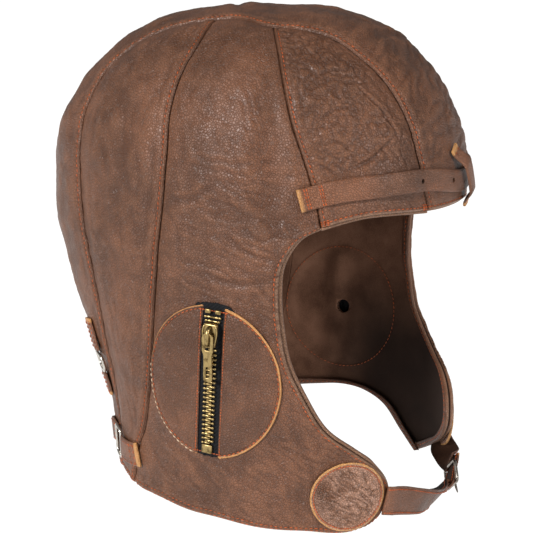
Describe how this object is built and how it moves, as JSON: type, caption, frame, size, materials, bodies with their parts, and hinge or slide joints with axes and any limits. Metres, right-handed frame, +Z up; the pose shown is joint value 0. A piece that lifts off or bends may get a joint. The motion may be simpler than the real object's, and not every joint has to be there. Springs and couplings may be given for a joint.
{
  "type": "leather flying helmet",
  "caption": "Close-fitting leather flying helmet with a seamed crown, zipped round ear patches, brow strap, nape strap and buckled chin strap",
  "frame": {"origin": "top of the head hollow, on the inner face of the lining at the crown, where the helmet sits on a head", "axes": "+Z up, the face opening looks along -Y, the wearer's right is -X and the wearer's left is +X"},
  "size_m": [0.193, 0.2318, 0.2719],
  "materials": {
    "shell_leather": "mid-brown grained garment leather, semi-matt with a soft sheen",
    "strap_leather": "smoother brown strap leather with raw tan cut ends",
    "suede_lining": "matt dark brown brushed suede-cloth lining",
    "zip_tape": "black woven zip tape",
    "zip_brass": "antique brass, slightly darkened in the recesses",
    "nickel_plate": "nickel-plated steel wire"
  },
  "bodies": {
    "root": {"brow_loop": "strap_leather", "brow_strap": "strap_leather", "chin_buckle": "nickel_plate", "chin_patch_left": "shell_leather", "chin_patch_right": "shell_leather", "chin_prong": "nickel_plate", "chin_strap_far": "strap_leather", "chin_strap_near": "strap_leather", "crown_band": "shell_leather", "ear_patch_front_left": "shell_leather", "ear_patch_front_right": "shell_leather", "ear_patch_rear_left": "shell_leather", "ear_patch_rear_right": "shell_leather", "front_panel_left": "shell_leather", "front_panel_right": "shell_leather", "lining": "suede_lining", "nape_buckle": "nickel_plate", "nape_strap": "strap_leather", "nape_tab": "strap_leather", "rear_panel_left": "shell_leather", "rear_panel_right": "shell_leather", "retainer_ring_left": "nickel_plate", "retainer_ring_right": "nickel_plate", "retainer_strap_left": "strap_leather", "retainer_strap_right": "strap_leather", "retainer_tab_left": "strap_leather", "retainer_tab_right": "strap_leather", "side_panel_left": "shell_leather", "side_panel_right": "shell_leather", "zip_slider_left": "zip_brass", "zip_slider_right": "zip_brass", "zip_tape_left": "zip_tape", "zip_tape_right": "zip_tape", "zip_teeth_left": "zip_brass", "zip_teeth_right": "zip_brass"},
    "pull_right": {"zip_pull_right": "zip_brass"},
    "pull_left": {"zip_pull_left": "zip_brass"}
  },
  "joints": [
    {"name": "zip_pull_hinge_right", "type": "hinge", "parent": "root", "child": "pull_right", "pos_m": [-0.094, -0.01078, -0.15162], "axis": [-0.0539, 0.9985, 0], "range_deg": [-4, 160]},
    {"name": "zip_pull_hinge_left", "type": "hinge", "parent": "root", "child": "pull_left", "pos_m": [0.094, -0.01078, -0.15162], "axis": [-0.0539, -0.9985, 0], "range_deg": [-4, 160]}
  ]
}
